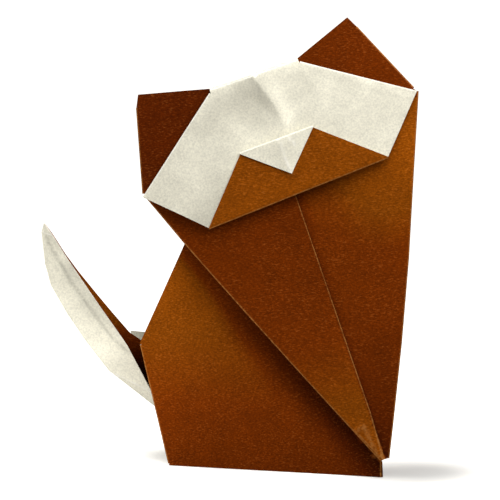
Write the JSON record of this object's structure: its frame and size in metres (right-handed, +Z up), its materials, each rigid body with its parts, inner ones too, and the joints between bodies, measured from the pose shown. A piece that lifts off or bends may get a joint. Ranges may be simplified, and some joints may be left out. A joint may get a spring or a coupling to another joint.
{
  "type": "folded paper cat figure",
  "caption": "Folded paper cat in two-coloured paper, sitting upright with a tilted white face, brown folded muzzle and ears, V-shaped standing base and upturned trough tail.",
  "frame": {"origin": "the middle of the bounding box's base, on the floor under the cat", "axes": "+Z up; the cat faces -Y; +X is to the cat's left as seen from the front, so the tail points to -X"},
  "size_m": [0.085, 0.039, 0.1018],
  "materials": {
    "two_sided_paper": "matte craft paper, brown on one side and off-white on the other; the colour shown is the brown side"
  },
  "bodies": {
    "root": {"folded_sheet": "two_sided_paper"}
  },
  "joints": []
}
